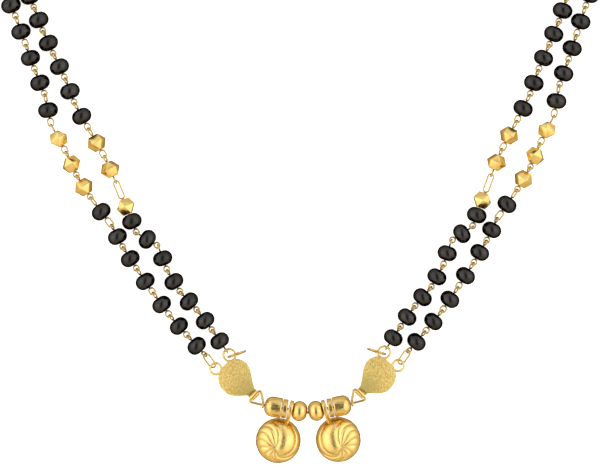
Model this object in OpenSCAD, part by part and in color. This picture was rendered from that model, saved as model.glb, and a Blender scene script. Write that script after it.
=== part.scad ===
// Mangalsutra laid flat: two strands of black beads, two plates and a wire with balls and vatis.
// Millimetres, +Z up, resting on z = 0. The left side is modelled and the right side mirrors it.

/* [Beads] */
// Diameter of a black bead
bead_d = 4.5; // [4.3:0.05:4.5]
// Length of a black bead along its hole
bead_len = 3.35; // [2.8:0.05:3.35]
// Hole through a black bead or a gold bead
bead_bore = 0.7; // [0.65:0.05:0.85]
// How far black beads vary in size, as a share
bead_vary = 0.02; // [0:0.005:0.02]
// Diameter of a faceted gold bead over its corners
gold_d = 4.6; // [4.2:0.05:4.7]
// Length of a faceted gold bead along its hole
gold_len = 3.45; // [3.2:0.05:3.45]

/* [Strand wire] */
// Thickness of the wire in the loops
wire_d = 0.38; // [0.3:0.01:0.39]
// Thickness of the wire inside the beads
shaft_d = 0.36; // [0.3:0.01:0.37]
// Inner width of the loop at a link's lower end, which lies flat
flat_eye = 0.86; // [0.8:0.01:0.88]
// Inner width of the loop at a link's upper end, which is turned on edge
edge_eye = 0.76; // [0.74:0.01:0.86]
// Play between two loops that hold each other
joint_play = 0.12; // [0.1:0.01:0.14]
// Gap between a bead and the loops of the link that carries it
face_gap = 0.04; // [0.03:0.01:0.05]
// Least gap between neighbouring pieces
clear = 0.1; // [0.1:0.01:0.12]

/* [Plates] */
// Length of a plate from the hole in its tab to its top edge
plate_len = 9.5; // [9:0.1:10]
// Width of a plate
plate_w = 7.8; // [7:0.1:8.2]
// Thickness of a plate
plate_t = 0.6; // [0.5:0.05:0.8]
// Width of the plate's tab
tab_w = 2.2; // [1.8:0.1:2.4]
// Outer diameter of the tab's fold round the wire
fold_d = 1.3; // [1.2:0.05:1.4]
// Thickness of the wire of the soldered loops
loop_wire_d = 0.5; // [0.4:0.05:0.55]
// Radius of the upper soldered loop to the middle of its wire
upper_loop_r = 1.35; // [1.3:0.05:1.5]
// Radius of the lower soldered loop to the middle of its wire
lower_loop_r = 1.25; // [1.2:0.05:1.4]
// Thickness of the wire of the jump rings
ring_wire_d = 0.4; // [0.3:0.02:0.44]
// Outer width of the oval jump ring
oval_ring_w = 2.35; // [2.3:0.05:2.5]
// Outer diameter of the loose jump ring
loose_ring_d = 4.5; // [4:0.1:4.8]

/* [Centre wire] */
// Thickness of the centre wire
centre_d = 0.55; // [0.4:0.05:0.6]
// Hole through balls and spacers
ball_bore = 0.85; // [0.8:0.05:1]
// Angle at which each half of the wire rises from the middle
centre_rise = 10.5; // [8:0.5:12]
// Diameter of a ball
ball_d = 4.5; // [4.4:0.1:4.8]
// Length of an inner ball
inner_ball_len = 3.4; // [3:0.1:3.5]
// Length of an outer ball
outer_ball_len = 3.9; // [3.5:0.1:4]
// Diameter of a spacer ring
spacer_d = 4.2; // [3.6:0.1:4.4]
// Length of a spacer ring
spacer_len = 1.1; // [0.8:0.1:1.2]
// Rounding of a spacer ring's edges
spacer_edge = 0.25; // [0.15:0.05:0.35]
// Diameter of the collar at each end of the wire
collar_d = 1.4; // [1.2:0.1:1.8]
// Length of the collar
collar_len = 0.5; // [0.4:0.1:0.6]

/* [Vatis] */
// Diameter of a vati
vati_d = 10; // [9:0.1:10.5]
// Height of a vati's dome
vati_h = 4.3; // [4:0.1:4.6]
// Height of the straight edge below the dome
vati_edge_h = 0.6; // [0.4:0.1:0.8]
// Wall of a vati at its edge
vati_wall = 0.5; // [0.4:0.05:0.7]
// Depth of the hollow in a vati
vati_hollow_h = 3.5; // [3:0.1:3.6]
// Height of the raised swirl
swirl_h = 0.3; // [0.1:0.02:0.4]
// Width of the bail's band
bail_w = 0.85; // [0.8:0.05:1.1]
// Outer radius of the bail round the wire
bail_r = 2.05; // [2:0.05:2.2]
// Thickness of the bail's band
bail_t = 0.4; // [0.3:0.05:0.45]

/* [Back] */
// Radius of the outer strand's hidden stretch at the clasp
back_r = 69.8; // [62:0.2:80]
// How far the centre of the hidden stretch lies beyond the last joint chosen by hand
back_rise = 24.65; // [20:0.05:30]
// Distance between the strands at the clasp
strand_gap = 5.4; // [5:0.1:7]
// Pitch of the beads in the hidden stretch
back_pitch = 6.15; // [5.9:0.05:7]
// Length of the clasp
clasp_len = 9; // [7:0.5:12]
// Thickness of the clasp
clasp_t = 3.2; // [2.8:0.1:4]

/* [Hidden] */
$fn = 48;
BLACK = "#15131a";
GOLD = "#e8b94f";
MATT_GOLD = "#d9b45c";

OUTER = 0;
INNER = 1;

// What a link's wire carries
B = 0;
G = 1;
PAIR = 2;

// The outer strand from its first joint up: joint [x, y], what the wire below it carries, and the
// share of the wire's free length that lies below the bead
outer_start = [-22.5, 19.5];
outer_route = [
    [[-26.3, 23.8], B, 0.5],
    [[-30.2, 28.4], B, 0.5],
    [[-33.8, 33.5], B, 0.5],
    [[-37.3, 38.8], B, 0.5],
    [[-40.3, 43.7], B, 0.5],
    [[-42.8, 48.7], B, 0.5],
    [[-47.3, 54.9], B, 0.5],
    [[-50.3, 59.8], G, 0.5],
    [[-52.6, 65.1], G, 0.5],
    [[-55.8, 71.2], G, 0.5],
    [[-57.1, 77.9], B, 0.5],
    [[-59.2, 83.4], B, 0.5],
    [[-61.1, 89.0], B, 0.5],
    [[-63.2, 95.2], B, 0.5],
    [[-65.3, 100.8], B, 0.5],
];
// The inner strand, which starts at the plate's upper loop. One wire holds a black bead against a
// gold one and ends in a long loop that lies flat.
inner_route = [
    [[-20.8, 24.95], B, 0.5],
    [[-24.05, 29.45], B, 0.5],
    [[-27.8, 33.6], B, 0.5],
    [[-30.6, 38.4], B, 0.5],
    [[-32.57, 44.0], B, 0.5],
    [[-37.27, 46.95], B, 0.5],
    [[-41.7, 58.3], PAIR, 0.21],
    [[-44.1, 64.0], G, 0.5],
    [[-47.5, 70.2], G, 0.5],
    [[-50.5, 75.9], B, 0.5],
    [[-52.5, 81.4], B, 0.5],
    [[-55.0, 86.9], B, 0.5],
    [[-57.2, 92.0], B, 0.5],
    [[-59.1, 97.2], B, 0.5],
    [[-60.9, 102.5], B, 0.5],
];

// Turn of each gold bead about its hole, and which of the two strands it is on
gold_roll = [[12, 47, 95], [28, 70, 8]];

// The vatis' centres lie near y = 0 before the layout is shifted to its middle
wire_mid_y = 6.4;
strand_z = max(bead_d, gold_d) / 2;
wire_z = ball_d / 2;
tube_sides = 8;

function unit(v) = v / norm(v);
function heading(v) = atan2(v[1], v[0]);
function aim(a) = [cos(a), sin(a)];
function lerp(a, b, t) = a + (b - a) * t;
function at_height(p, z) = [p[0], p[1], z];

// Centre wire: distances are along the wire from its middle
function wire_point(s) = [0, wire_mid_y] + s * aim(180 - centre_rise);
// Half the length of a round-edged bead at radius r
function half_len_at(d, length, r) = sqrt(pow(length / 2, 2) - pow(max(r - (d - length) / 2, 0), 2));

bail_turn = 5;
inner_ball_at = (inner_ball_len / 2 + (ball_d - inner_ball_len) / 2 * sin(centre_rise) + clear / 2)
    / cos(centre_rise);
bail_gap = 0.17;
bail_at = inner_ball_at + half_len_at(ball_d, inner_ball_len, bail_r - bail_t) + bail_gap
    + bail_w / 2 * cos(bail_turn) + (bail_r - bail_t) * sin(bail_turn);
spacer_at = bail_at + bail_w / 2 * cos(bail_turn) + bail_r * sin(bail_turn) + clear + spacer_len / 2;
outer_ball_at = spacer_at + spacer_len / 2 + clear + outer_ball_len / 2;
collar_at = outer_ball_at + outer_ball_len / 2 + clear;
apex_at = collar_at + collar_len;

// The plate hangs on the three-cornered loop by its tab
plate_turn = 134;
tab_at = [-11.75, 10.4];
loop_out = 0.75;
upper_loop_side = 2.4;
lower_loop_side = -1.9;
function plate_point(s, side) = tab_at + s * aim(plate_turn) + side * aim(plate_turn - 90);
upper_loop_at = plate_point(plate_len + loop_out, upper_loop_side);
lower_loop_at = plate_point(plate_len + loop_out, lower_loop_side);

// Distance from a joint to the middle of a wire that reaches past it
function overshoot(mate_d) = (wire_d + mate_d + 2 * joint_play) / 4;

inner_first = inner_route[0][0];
inner_start = upper_loop_at
    + (upper_loop_r - overshoot(loop_wire_d)) * unit(inner_first - upper_loop_at);

function route(strand) = strand == OUTER ? outer_route : inner_route;
function front_joints(strand) = concat(
    [strand == OUTER ? outer_start : inner_start],
    [for (row = route(strand)) row[0]]
);

// Hidden stretch: from the last chosen joint round to a loop of the clasp
back_centre = [0, outer_route[len(outer_route) - 1][0][1] + back_rise];
clasp_loop_r = 1.2;
clasp_loop_x = -(clasp_len / 2 + clasp_loop_r);
function end_radius(strand) = back_r - (strand == OUTER ? 0 : strand_gap);
function back_end(strand) = [
    clasp_loop_x - clasp_loop_r + overshoot(loop_wire_d),
    end_radius(strand)
];
function polar(v) = [norm(v), heading([-v[0], -v[1]]) + 180];
function back_joints(strand) = let (
        rows = route(strand),
        first = polar(rows[len(rows) - 1][0] - back_centre),
        last = polar(back_end(strand)),
        count = round((first[1] - last[1]) * PI / 180 * (first[0] + last[0]) / 2 / back_pitch)
    )
    [for (i = [0 : count]) let (f = i / count)
        back_centre + lerp(first[0], last[0], 1 - pow(1 - f, 3)) * aim(lerp(first[1], last[1], f))];

// A link is [lower joint, upper joint, load, share of free wire below]
function front_links(strand) = let (joints = front_joints(strand), rows = route(strand))
    [for (i = [0 : len(rows) - 1]) [joints[i], joints[i + 1], rows[i][1], rows[i][2]]];
function back_links(strand) = let (joints = back_joints(strand))
    [for (i = [0 : len(joints) - 2]) [joints[i], joints[i + 1], B, 0.5]];

pair_gap = 0.12;
function load_len(load) = load == B ? bead_len
    : load == G ? gold_len
    : bead_len + pair_gap + gold_len;
function link_len(link) = norm(link[1] - link[0]);
function free_wire(link) = link_len(link) - load_len(link[2]);
function lower_free(link) = free_wire(link) * link[3];
function upper_free(link) = free_wire(link) * (1 - link[3]);
function first_bead_at(link) = lower_free(link) + (link[2] == G ? gold_len : bead_len) / 2;
function last_bead_at(link) = link_len(link) - upper_free(link) - (link[2] == B ? bead_len : gold_len) / 2;

clasp_margin = 2.5;
clasp_y = back_centre[1] + back_r - strand_gap / 2;
clasp_w = strand_gap + 2 * clasp_margin;

bail_out = 2.9;
bail_sink = 0.3;
vati_lean = 26;
bail_centre = wire_point(bail_at);
bail_foot = bail_centre + bail_out * aim(-90 - centre_rise - bail_turn);
vati_centre = bail_foot + (vati_d / 2 - bail_sink) * aim(-90 - vati_lean);

layout_bottom = vati_centre[1] - vati_d / 2;
layout_top = clasp_y + clasp_w / 2;
shift_y = -(layout_bottom + layout_top) / 2;

// Puts a left piece into the layout, or its mirror image
module left() {
    translate([0, shift_y, 0]) children();
}

module right() {
    mirror([1, 0, 0]) left() children();
}

// Lays +X along a line from one point to another
module along(from, to, z) {
    translate(at_height(from, z)) rotate([0, 0, heading(to - from)]) children();
}

// A round-edged bead with its hole along X
module round_bead(d, length, bore) {
    edge = length / 2;
    rotate([0, 90, 0]) rotate_extrude() difference() {
        union() {
            translate([d / 2 - edge, 0]) circle(edge);
            translate([0, -edge]) square([d / 2 - edge, length]);
        }
        translate([-d, -length]) square([d + bore / 2, 2 * length]);
    }
}

// A bead of fourteen facets, six square and eight three-cornered, with its hole along X
module facet_bead(d, length, bore) {
    r = d / 2;
    waist = [for (i = [0 : 5]) [0, r * cos(60 * i), r * sin(60 * i)]];
    function cap(x, turn) = [for (i = [0 : 2])
        [x, r / sqrt(3) * cos(120 * i + turn), r / sqrt(3) * sin(120 * i + turn)]];
    points = concat(waist, cap(length / 2, 30), cap(-length / 2, 90));
    faces = concat(
        [[8, 7, 6], [9, 10, 11]],
        [for (i = [0 : 2]) [6 + i, 2 * i + 1, 2 * i]],
        [for (i = [0 : 2]) [6 + i, 6 + (i + 1) % 3, (2 * i + 2) % 6, 2 * i + 1]],
        [for (i = [0 : 2]) [9 + i, 2 * i + 1, (2 * i + 2) % 6]],
        [for (i = [0 : 2]) [9 + i, (2 * i + 2) % 6, (2 * i + 3) % 6, 9 + (i + 1) % 3]]
    );
    difference() {
        polyhedron(points, faces);
        translate([-d, 0, 0]) rotate([0, 90, 0]) cylinder(d = bore, h = 2 * d);
    }
}

// A swept wire with a ring of points at each point of its path
module swept_wire(path, d, closed = false) {
    n = len(path);
    function ring(i) = let (
            before = path[closed ? (i + n - 1) % n : max(i - 1, 0)],
            after = path[closed ? (i + 1) % n : min(i + 1, n - 1)],
            turn = heading(after - before)
        )
        [for (k = [0 : tube_sides - 1]) let (a = 360 * k / tube_sides)
            path[i] + d / 2 * [-sin(turn) * cos(a), cos(turn) * cos(a), sin(a)]];
    points = [for (i = [0 : n - 1]) each ring(i)];
    sides = [for (i = [0 : closed ? n - 1 : n - 2]) for (k = [0 : tube_sides - 1])
        let (j = (i + 1) % n, m = (k + 1) % tube_sides)
        [i * tube_sides + k, j * tube_sides + k, j * tube_sides + m, i * tube_sides + m]];
    ends = closed ? [] : [
        [for (k = [0 : tube_sides - 1]) k],
        [for (k = [tube_sides - 1 : -1 : 0]) (n - 1) * tube_sides + k]
    ];
    polyhedron(points, concat(sides, ends));
}

// The seams of bent and straight wires are turned out of the planes in which the wires meet
wire_seam = 20;

// A ring of wire, or the stretch of it that the angle gives, measured to the middle of its wire
module ring(r, d, angle = 360) {
    rotate_extrude(angle = angle) translate([r, 0]) rotate(wire_seam) circle(d = d);
}

// A straight wire along X
module rod(from, to, d) {
    translate([from, 0, 0]) rotate([0, 90, 0]) rotate([0, 0, wire_seam]) cylinder(d = d, h = to - from);
}

// A flat ring of wire from x = from to x = to, measured to the middle of its wire: round, or oval
// where that is longer than it is wide
module oval(from, to, r, d) {
    if (to - from < 2 * r + 0.02)
        translate([from + r, 0, 0]) ring(r, d);
    else {
        translate([to - r, 0, 0]) rotate([0, 0, -90]) ring(r, d, 180);
        translate([from + r, 0, 0]) rotate([0, 0, 90]) ring(r, d, 180);
        for (side = [-r, r]) translate([0, side, 0]) rod(from + r, to - r, d);
    }
}

// Where a loop's far end lies beyond its joint, given the free wire on its side of the joint
function tip(free, inner_w, mate_d) =
    max(overshoot(mate_d), inner_w + 1.5 * wire_d + face_gap - free);

function to_micron(v) = round(v * 1000) / 1000;

// A loop at x = 0 whose link lies at -X
module eye(free, inner_w, mate_d) {
    near = to_micron(face_gap - free + wire_d / 2);
    far = to_micron(tip(free, inner_w, mate_d));
    oval(near, far, (inner_w + wire_d) / 2, wire_d);
}

// One link: a straight wire through its bead with a loop at each end
module link_wire(link, lower_roll, lower_eye, lower_mate, upper_roll, upper_eye) {
    lower = lower_free(link);
    upper = upper_free(link);
    total = link_len(link);
    along(link[0], link[1], strand_z) {
        rod(lower - face_gap - wire_d / 2, total - upper + face_gap + wire_d / 2, shaft_d);
        rotate([0, 0, 180]) rotate([lower_roll, 0, 0]) eye(lower, lower_eye, lower_mate);
        translate([total, 0, 0]) rotate([upper_roll, 0, 0]) eye(upper, upper_eye, wire_d);
    }
}

oval_ring_tilt = 42;
// The oval ring's end is as round as the loop it holds, so it needs more play than a link
ring_play = 0.3;

// The loop at a link's upper end is turned this far about the wire from lying flat, and stands on
// edge where the strand bends by more than the second angle
eye_turn = 65;
eye_bend = 13;
function direction(link) = unit(link[1] - link[0]);
function bend(wires, i) = i == len(wires) - 1 ? 0 : acos(direction(wires[i]) * direction(wires[i + 1]));

module links(strand) {
    wires = front_links(strand);
    color(GOLD) for (i = [0 : len(wires) - 1]) let (
            first = i == 0,
            on_edge = first || wires[i - 1][2] == PAIR,
            paired = wires[i][2] == PAIR
        )
        link_wire(
            wires[i],
            !on_edge ? 0 : first && strand == OUTER ? oval_ring_tilt - 90 : 90,
            on_edge ? edge_eye : flat_eye,
            !first ? wire_d : strand == OUTER ? ring_wire_d : loop_wire_d,
            paired ? 0 : bend(wires, i) > eye_bend ? 90 : eye_turn,
            paired ? flat_eye : edge_eye
        );
}

module black_beads(strand) {
    wires = concat(front_links(strand), back_links(strand));
    color(BLACK) for (i = [0 : len(wires) - 1])
        if (wires[i][2] != G)
            along(wires[i][0], wires[i][1], strand_z) translate([first_bead_at(wires[i]), 0, 0])
                scale(1 - bead_vary * (1 + sin(i * 97 + 60 * strand)) / 2)
                    round_bead(bead_d, bead_len, bead_bore);
}

module gold_bead(strand, index) {
    wires = [for (w = front_links(strand)) if (w[2] != B) w];
    wire = wires[index];
    color(GOLD) along(wire[0], wire[1], strand_z) translate([last_bead_at(wire), 0, 0])
        rotate([gold_roll[strand][index], 0, 0]) facet_bead(gold_d, gold_len, bead_bore);
}

// The hidden stretch of a strand, from the last chosen joint to the clasp
module back_wire(strand) {
    joints = back_joints(strand);
    last = len(joints) - 1;
    start_gap = overshoot(wire_d) + wire_d / 2 + clear;
    end_gap = overshoot(loop_wire_d) + loop_wire_d / 2 + clear;
    path = [for (i = [0 : last])
        i == 0 ? joints[0] + start_gap * unit(joints[1] - joints[0])
        : i == last ? joints[last] + end_gap * unit(joints[last - 1] - joints[last])
        : joints[i]];
    color(GOLD) swept_wire([for (p = path) at_height(p, strand_z)], shaft_d);
}

// Oval ring between the outer strand's first link and the plate's lower loop
module jump_ring() {
    reach = norm(lower_loop_at - outer_start) - lower_loop_r;
    color(GOLD) along(outer_start, lower_loop_at, strand_z) rotate([oval_ring_tilt, 0, 0])
        oval(
            -overshoot(ring_wire_d),
            reach + (ring_wire_d + loop_wire_d) / 2 + ring_play,
            (oval_ring_w - ring_wire_d) / 2,
            ring_wire_d
        );
}

loose_ring_turn = 18;
loose_ring_tilt = 84;
loose_ring_inset = [-0.45, -0.3];

// Spare ring that stands on its edge in the plate's upper loop
module loose_ring() {
    r = (loose_ring_d - ring_wire_d) / 2;
    color(GOLD) translate(at_height(upper_loop_at, loose_ring_d / 2)) rotate([0, 0, loose_ring_turn])
        translate([loose_ring_inset[0] + r, loose_ring_inset[1], 0]) rotate([loose_ring_tilt, 0, 0])
            ring(r, ring_wire_d);
}

// Edge of a plate from one side of the tab round to the other: shares of its length from the tab's
// hole, and of its width from its middle line
plate_edge = [
    [0.265, -0.345], [0.43, -0.5], [0.59, -0.525], [0.76, -0.485], [0.905, -0.36], [0.985, -0.13],
    [0.99, 0.13], [0.9, 0.38], [0.7, 0.485], [0.5, 0.43], [0.26, 0.24]
];
tab_len_share = 0.11;
edge_steps = 4;

// A smooth curve through the points, from the second to the last but one
function smooth(p, steps) = [for (i = [1 : len(p) - 3]) for (k = [0 : steps - 1]) let (t = k / steps)
    ((2 * t * t * t - 3 * t * t + 1) * p[i] + (3 * t * t - 2 * t * t * t) * p[i + 1]
        + (t * t * t - 2 * t * t + t) * (p[i + 1] - p[i - 1]) / 2
        + (t * t * t - t * t) * (p[i + 2] - p[i]) / 2)];

// Outline of a plate with its tab at the origin and its length along +X
module plate_outline() {
    tab = [tab_len_share * plate_len, tab_w / 2];
    edge = [for (p = plate_edge) [p[0] * plate_len, -p[1] * plate_w]];
    polygon(concat(
        [[0, tab[1]]],
        smooth(concat([[0, tab[1]], tab], edge, [[tab[0], -tab[1]], [0, -tab[1]]]), edge_steps),
        [[tab[0], -tab[1]], [0, -tab[1]]]
    ));
}

fold_play = 0.34;

module plate() {
    color(MATT_GOLD) translate(at_height(tab_at, strand_z)) rotate([0, 0, plate_turn]) {
        difference() {
            union() {
                translate([0, 0, -plate_t / 2]) linear_extrude(plate_t) plate_outline();
                translate([0, tab_w / 2, 0]) rotate([90, 0, 0]) cylinder(d = fold_d, h = tab_w);
            }
            translate([0, tab_w, 0]) rotate([90, 0, 0])
                cylinder(d = centre_d + fold_play, h = 2 * tab_w);
        }
        translate([plate_len + loop_out, -upper_loop_side, 0])
            ring(upper_loop_r, loop_wire_d);
        translate([plate_len + loop_out, -lower_loop_side, 0])
            ring(lower_loop_r, loop_wire_d);
    }
}

// The arc of radius r that rounds off the corner between two neighbours, in steps
function corner_arc(before, corner, after, r, steps) = let (
        u = unit(before - corner),
        v = unit(after - corner),
        turn = acos(-u * v),
        half = 90 - turn / 2,
        centre = corner + unit(u + v) * r / sin(half),
        first = corner + u * r / tan(half) - centre,
        last = corner + v * r / tan(half) - centre
    )
    [for (k = [0 : steps]) centre
        + (sin(turn * (1 - k / steps)) * first + sin(turn * k / steps) * last) / sin(turn)];

function rounded(corners, r, steps) = let (n = len(corners))
    [for (i = [0 : n - 1])
        each corner_arc(corners[(i + n - 1) % n], corners[i], corners[(i + 1) % n], r, steps)];

corner_out = 0.85;
corner_r = 0.42;

// Left half of the centre wire, with the three-cornered loop that holds the plate
module centre_wire_half() {
    side = (tab_w / 2 + corner_out) * aim(plate_turn - 90);
    corners = [
        at_height(wire_point(apex_at - corner_r), wire_z),
        at_height(tab_at - side, strand_z),
        at_height(tab_at + side, strand_z)
    ];
    translate([0, shift_y, 0]) {
        along(wire_point(-centre_d / 4), wire_point(apex_at), wire_z) rotate([0, 90, 0])
            cylinder(d = centre_d, h = apex_at - centre_d / 4);
        along(wire_point(collar_at), wire_point(apex_at), wire_z) rotate([0, 90, 0])
            cylinder(d = collar_d, h = collar_len);
        swept_wire(rounded(corners, corner_r, 6), centre_d, closed = true);
    }
}

module centre_wire() {
    color(GOLD) {
        centre_wire_half();
        mirror([1, 0, 0]) centre_wire_half();
    }
}

module on_wire(s) {
    along(wire_point(s), wire_point(s + 1), wire_z) children();
}

// Width of the flat rim round an outer ball's hole, and the rounding of its end at the spacer
ball_rim = 0.075;
heel_r = 0.4;

// A ball with its hole along X, domed towards +X and nearly flat at its other end
module domed_ball(d, length, bore) {
    dome_r = (d - bore) / 2 - ball_rim;
    rotate([0, 90, 0]) rotate_extrude() difference() {
        union() {
            translate([d / 2 - dome_r, length / 2 - dome_r]) circle(dome_r);
            translate([d / 2 - heel_r, heel_r - length / 2]) circle(heel_r);
            translate([0, heel_r - length / 2]) square([d / 2, length - dome_r - heel_r]);
            translate([0, -length / 2]) square([d / 2 - dome_r, length]);
            translate([0, -length / 2]) square([d / 2 - heel_r, heel_r]);
        }
        translate([-d, -length]) square([d + bore / 2, 2 * length]);
    }
}

module ball_inner() {
    color(GOLD) on_wire(inner_ball_at) round_bead(ball_d, inner_ball_len, ball_bore);
}

module ball_outer() {
    color(GOLD) on_wire(outer_ball_at) domed_ball(ball_d, outer_ball_len, ball_bore);
}

// A short cylinder with its hole along X and rounded edges
module ring_bead(d, length, bore, edge) {
    rotate([0, 90, 0]) rotate_extrude() difference() {
        union() {
            for (side = [-1, 1]) translate([d / 2 - edge, side * (length / 2 - edge)]) circle(edge);
            translate([0, -length / 2]) square([d / 2 - edge, length]);
            translate([0, edge - length / 2]) square([d / 2, length - 2 * edge]);
        }
        translate([-d, -length]) square([d + bore / 2, 2 * length]);
    }
}

module spacer() {
    color(GOLD) on_wire(spacer_at) ring_bead(spacer_d, spacer_len, ball_bore, spacer_edge);
}

// Swirl of a vati, with +X pointing to the bail: ribs leave a point behind the middle and bend
// round to the edge, and the stretch between the last rib and the first is one smooth bulge
rib_count = 8;
rib_steps = 5;
bulge_steps = 8;
dome_rings = 10;
swirl_from = [-0.32, -0.03];
bulge_h = 1.3;
swirl_columns = rib_count * rib_steps + bulge_steps;

// Angle at which rib line u starts and where it ends on the edge
function rib_start(u) = -4 + 35 * u - 0.87 * u * u;
function rib_end(u) = 53 + 19 * u + 175 * pow(u / rib_count, 4.7);
function start_angle(c) = c <= rib_count * rib_steps ? rib_start(c / rib_steps)
    : lerp(rib_start(rib_count), rib_start(0) + 360, (c - rib_count * rib_steps) / bulge_steps);
function end_angle(c) = c <= rib_count * rib_steps ? rib_end(c / rib_steps)
    : lerp(rib_end(rib_count), rib_end(0) + 360, (c - rib_count * rib_steps) / bulge_steps);
function relief(c, t) = c <= rib_count * rib_steps
    ? pow(abs(sin(180 * c / rib_steps)), 0.7) * pow(sin(90 * min(t * 1.4, 1)), 1.2 + 0.3 * c / rib_steps)
    : bulge_h * pow(sin(180 * (c - rib_count * rib_steps) / bulge_steps), 0.7) * sin(180 * pow(t, 0.8));
function dome_z(p) = vati_edge_h + (vati_h - swirl_h - vati_edge_h)
    * sqrt(max(1 - pow(2 * norm(p) / vati_d, 2), 0));
function dome_point(c, t) = let (
        angle = lerp(start_angle(c), end_angle(c), pow(t, 3)),
        p = lerp(swirl_from * vati_d / 2, aim(angle) * vati_d / 2, t)
    )
    at_height(p, dome_z(p) + swirl_h * relief(c, t) * (t < 1 ? 1 : 0));

module vati_dome() {
    n = swirl_columns;
    rows = [for (i = [1 : dome_rings]) sin(90 * i / dome_rings)];
    top = at_height(swirl_from * vati_d / 2, dome_z(swirl_from * vati_d / 2));
    points = concat(
        [top],
        [for (t = rows) for (c = [0 : n - 1]) dome_point(c, t)],
        [for (c = [0 : n - 1]) at_height(aim(end_angle(c)) * vati_d / 2, 0)]
    );
    faces = concat(
        [for (c = [0 : n - 1]) [0, 1 + (c + 1) % n, 1 + c]],
        [for (i = [0 : dome_rings - 1]) for (c = [0 : n - 1]) let (
                a = 1 + i * n + c,
                b = 1 + i * n + (c + 1) % n
            )
            each [[a, b, b + n], [a, b + n, a + n]]],
        [[for (c = [0 : n - 1]) 1 + dome_rings * n + c]]
    );
    polyhedron(points, faces);
}

module vati() {
    mouth = vati_d / 2 - vati_wall;
    hollow_r = (pow(mouth, 2) + pow(vati_hollow_h, 2)) / (2 * vati_hollow_h);
    color(GOLD) {
        difference() {
            translate(vati_centre) rotate([0, 0, 90 - vati_lean]) vati_dome();
            translate(at_height(vati_centre, vati_hollow_h - hollow_r)) sphere(hollow_r);
        }
        bail();
    }
}

// Band round the wire whose two ends meet at the edge of the vati
module bail() {
    inner = bail_r - bail_t;
    tip_z = -0.5;
    along(bail_centre, bail_foot, wire_z) rotate([90, 0, 0]) linear_extrude(bail_w, center = true)
        difference() {
            union() {
                circle(bail_r);
                polygon([
                    [0, bail_r], [bail_out, tip_z + bail_t], [bail_out, tip_z - bail_t],
                    [0, -bail_r]
                ]);
            }
            circle(inner);
            polygon([[0, inner], [bail_out - 2 * bail_t, tip_z], [0, -inner]]);
        }
}

module clasp() {
    chamfer = 1;
    half = [clasp_len / 2, clasp_w / 2];
    color(GOLD) {
        translate([0, clasp_y, 0]) linear_extrude(clasp_t) polygon([
            [half[0] - chamfer, half[1]], [chamfer - half[0], half[1]],
            [-half[0], half[1] - chamfer], [-half[0], chamfer - half[1]],
            [chamfer - half[0], -half[1]], [half[0] - chamfer, -half[1]],
            [half[0], chamfer - half[1]], [half[0], half[1] - chamfer]
        ]);
        for (x = [-1, 1]) for (strand = [OUTER, INNER])
            translate([x * clasp_loop_x, back_centre[1] + end_radius(strand), strand_z])
                ring(clasp_loop_r, loop_wire_d);
    }
}

left() black_beads(OUTER);  // black_beads_outer_left
right() black_beads(OUTER);  // black_beads_outer_right
left() black_beads(INNER);  // black_beads_inner_left
right() black_beads(INNER);  // black_beads_inner_right
left() gold_bead(OUTER, 0);  // gold_bead_outer_left_1
left() gold_bead(OUTER, 1);  // gold_bead_outer_left_2
left() gold_bead(OUTER, 2);  // gold_bead_outer_left_3
right() gold_bead(OUTER, 0);  // gold_bead_outer_right_1
right() gold_bead(OUTER, 1);  // gold_bead_outer_right_2
right() gold_bead(OUTER, 2);  // gold_bead_outer_right_3
left() gold_bead(INNER, 0);  // gold_bead_inner_left_1
left() gold_bead(INNER, 1);  // gold_bead_inner_left_2
left() gold_bead(INNER, 2);  // gold_bead_inner_left_3
right() gold_bead(INNER, 0);  // gold_bead_inner_right_1
right() gold_bead(INNER, 1);  // gold_bead_inner_right_2
right() gold_bead(INNER, 2);  // gold_bead_inner_right_3
left() links(OUTER);  // links_outer_left
right() links(OUTER);  // links_outer_right
left() links(INNER);  // links_inner_left
right() links(INNER);  // links_inner_right
left() back_wire(OUTER);  // back_wire_outer_left
right() back_wire(OUTER);  // back_wire_outer_right
left() back_wire(INNER);  // back_wire_inner_left
right() back_wire(INNER);  // back_wire_inner_right
left() jump_ring();  // jump_ring_left
right() jump_ring();  // jump_ring_right
left() loose_ring();  // loose_ring_left
right() loose_ring();  // loose_ring_right
left() plate();  // plate_left
right() plate();  // plate_right
centre_wire();
left() ball_outer();  // ball_outer_left
right() ball_outer();  // ball_outer_right
left() ball_inner();  // ball_inner_left
right() ball_inner();  // ball_inner_right
left() spacer();  // spacer_left
right() spacer();  // spacer_right
left() vati();  // vati_left
right() vati();  // vati_right
left() clasp();
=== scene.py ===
"""Dresses the mangalsutra: finishes for its beads, wires, plates and vatis, and a white studio."""

import math

import bmesh
import bpy
from bpy.props import FloatProperty, FloatVectorProperty, IntProperty, PointerProperty
from mathutils import Matrix, Vector


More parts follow.
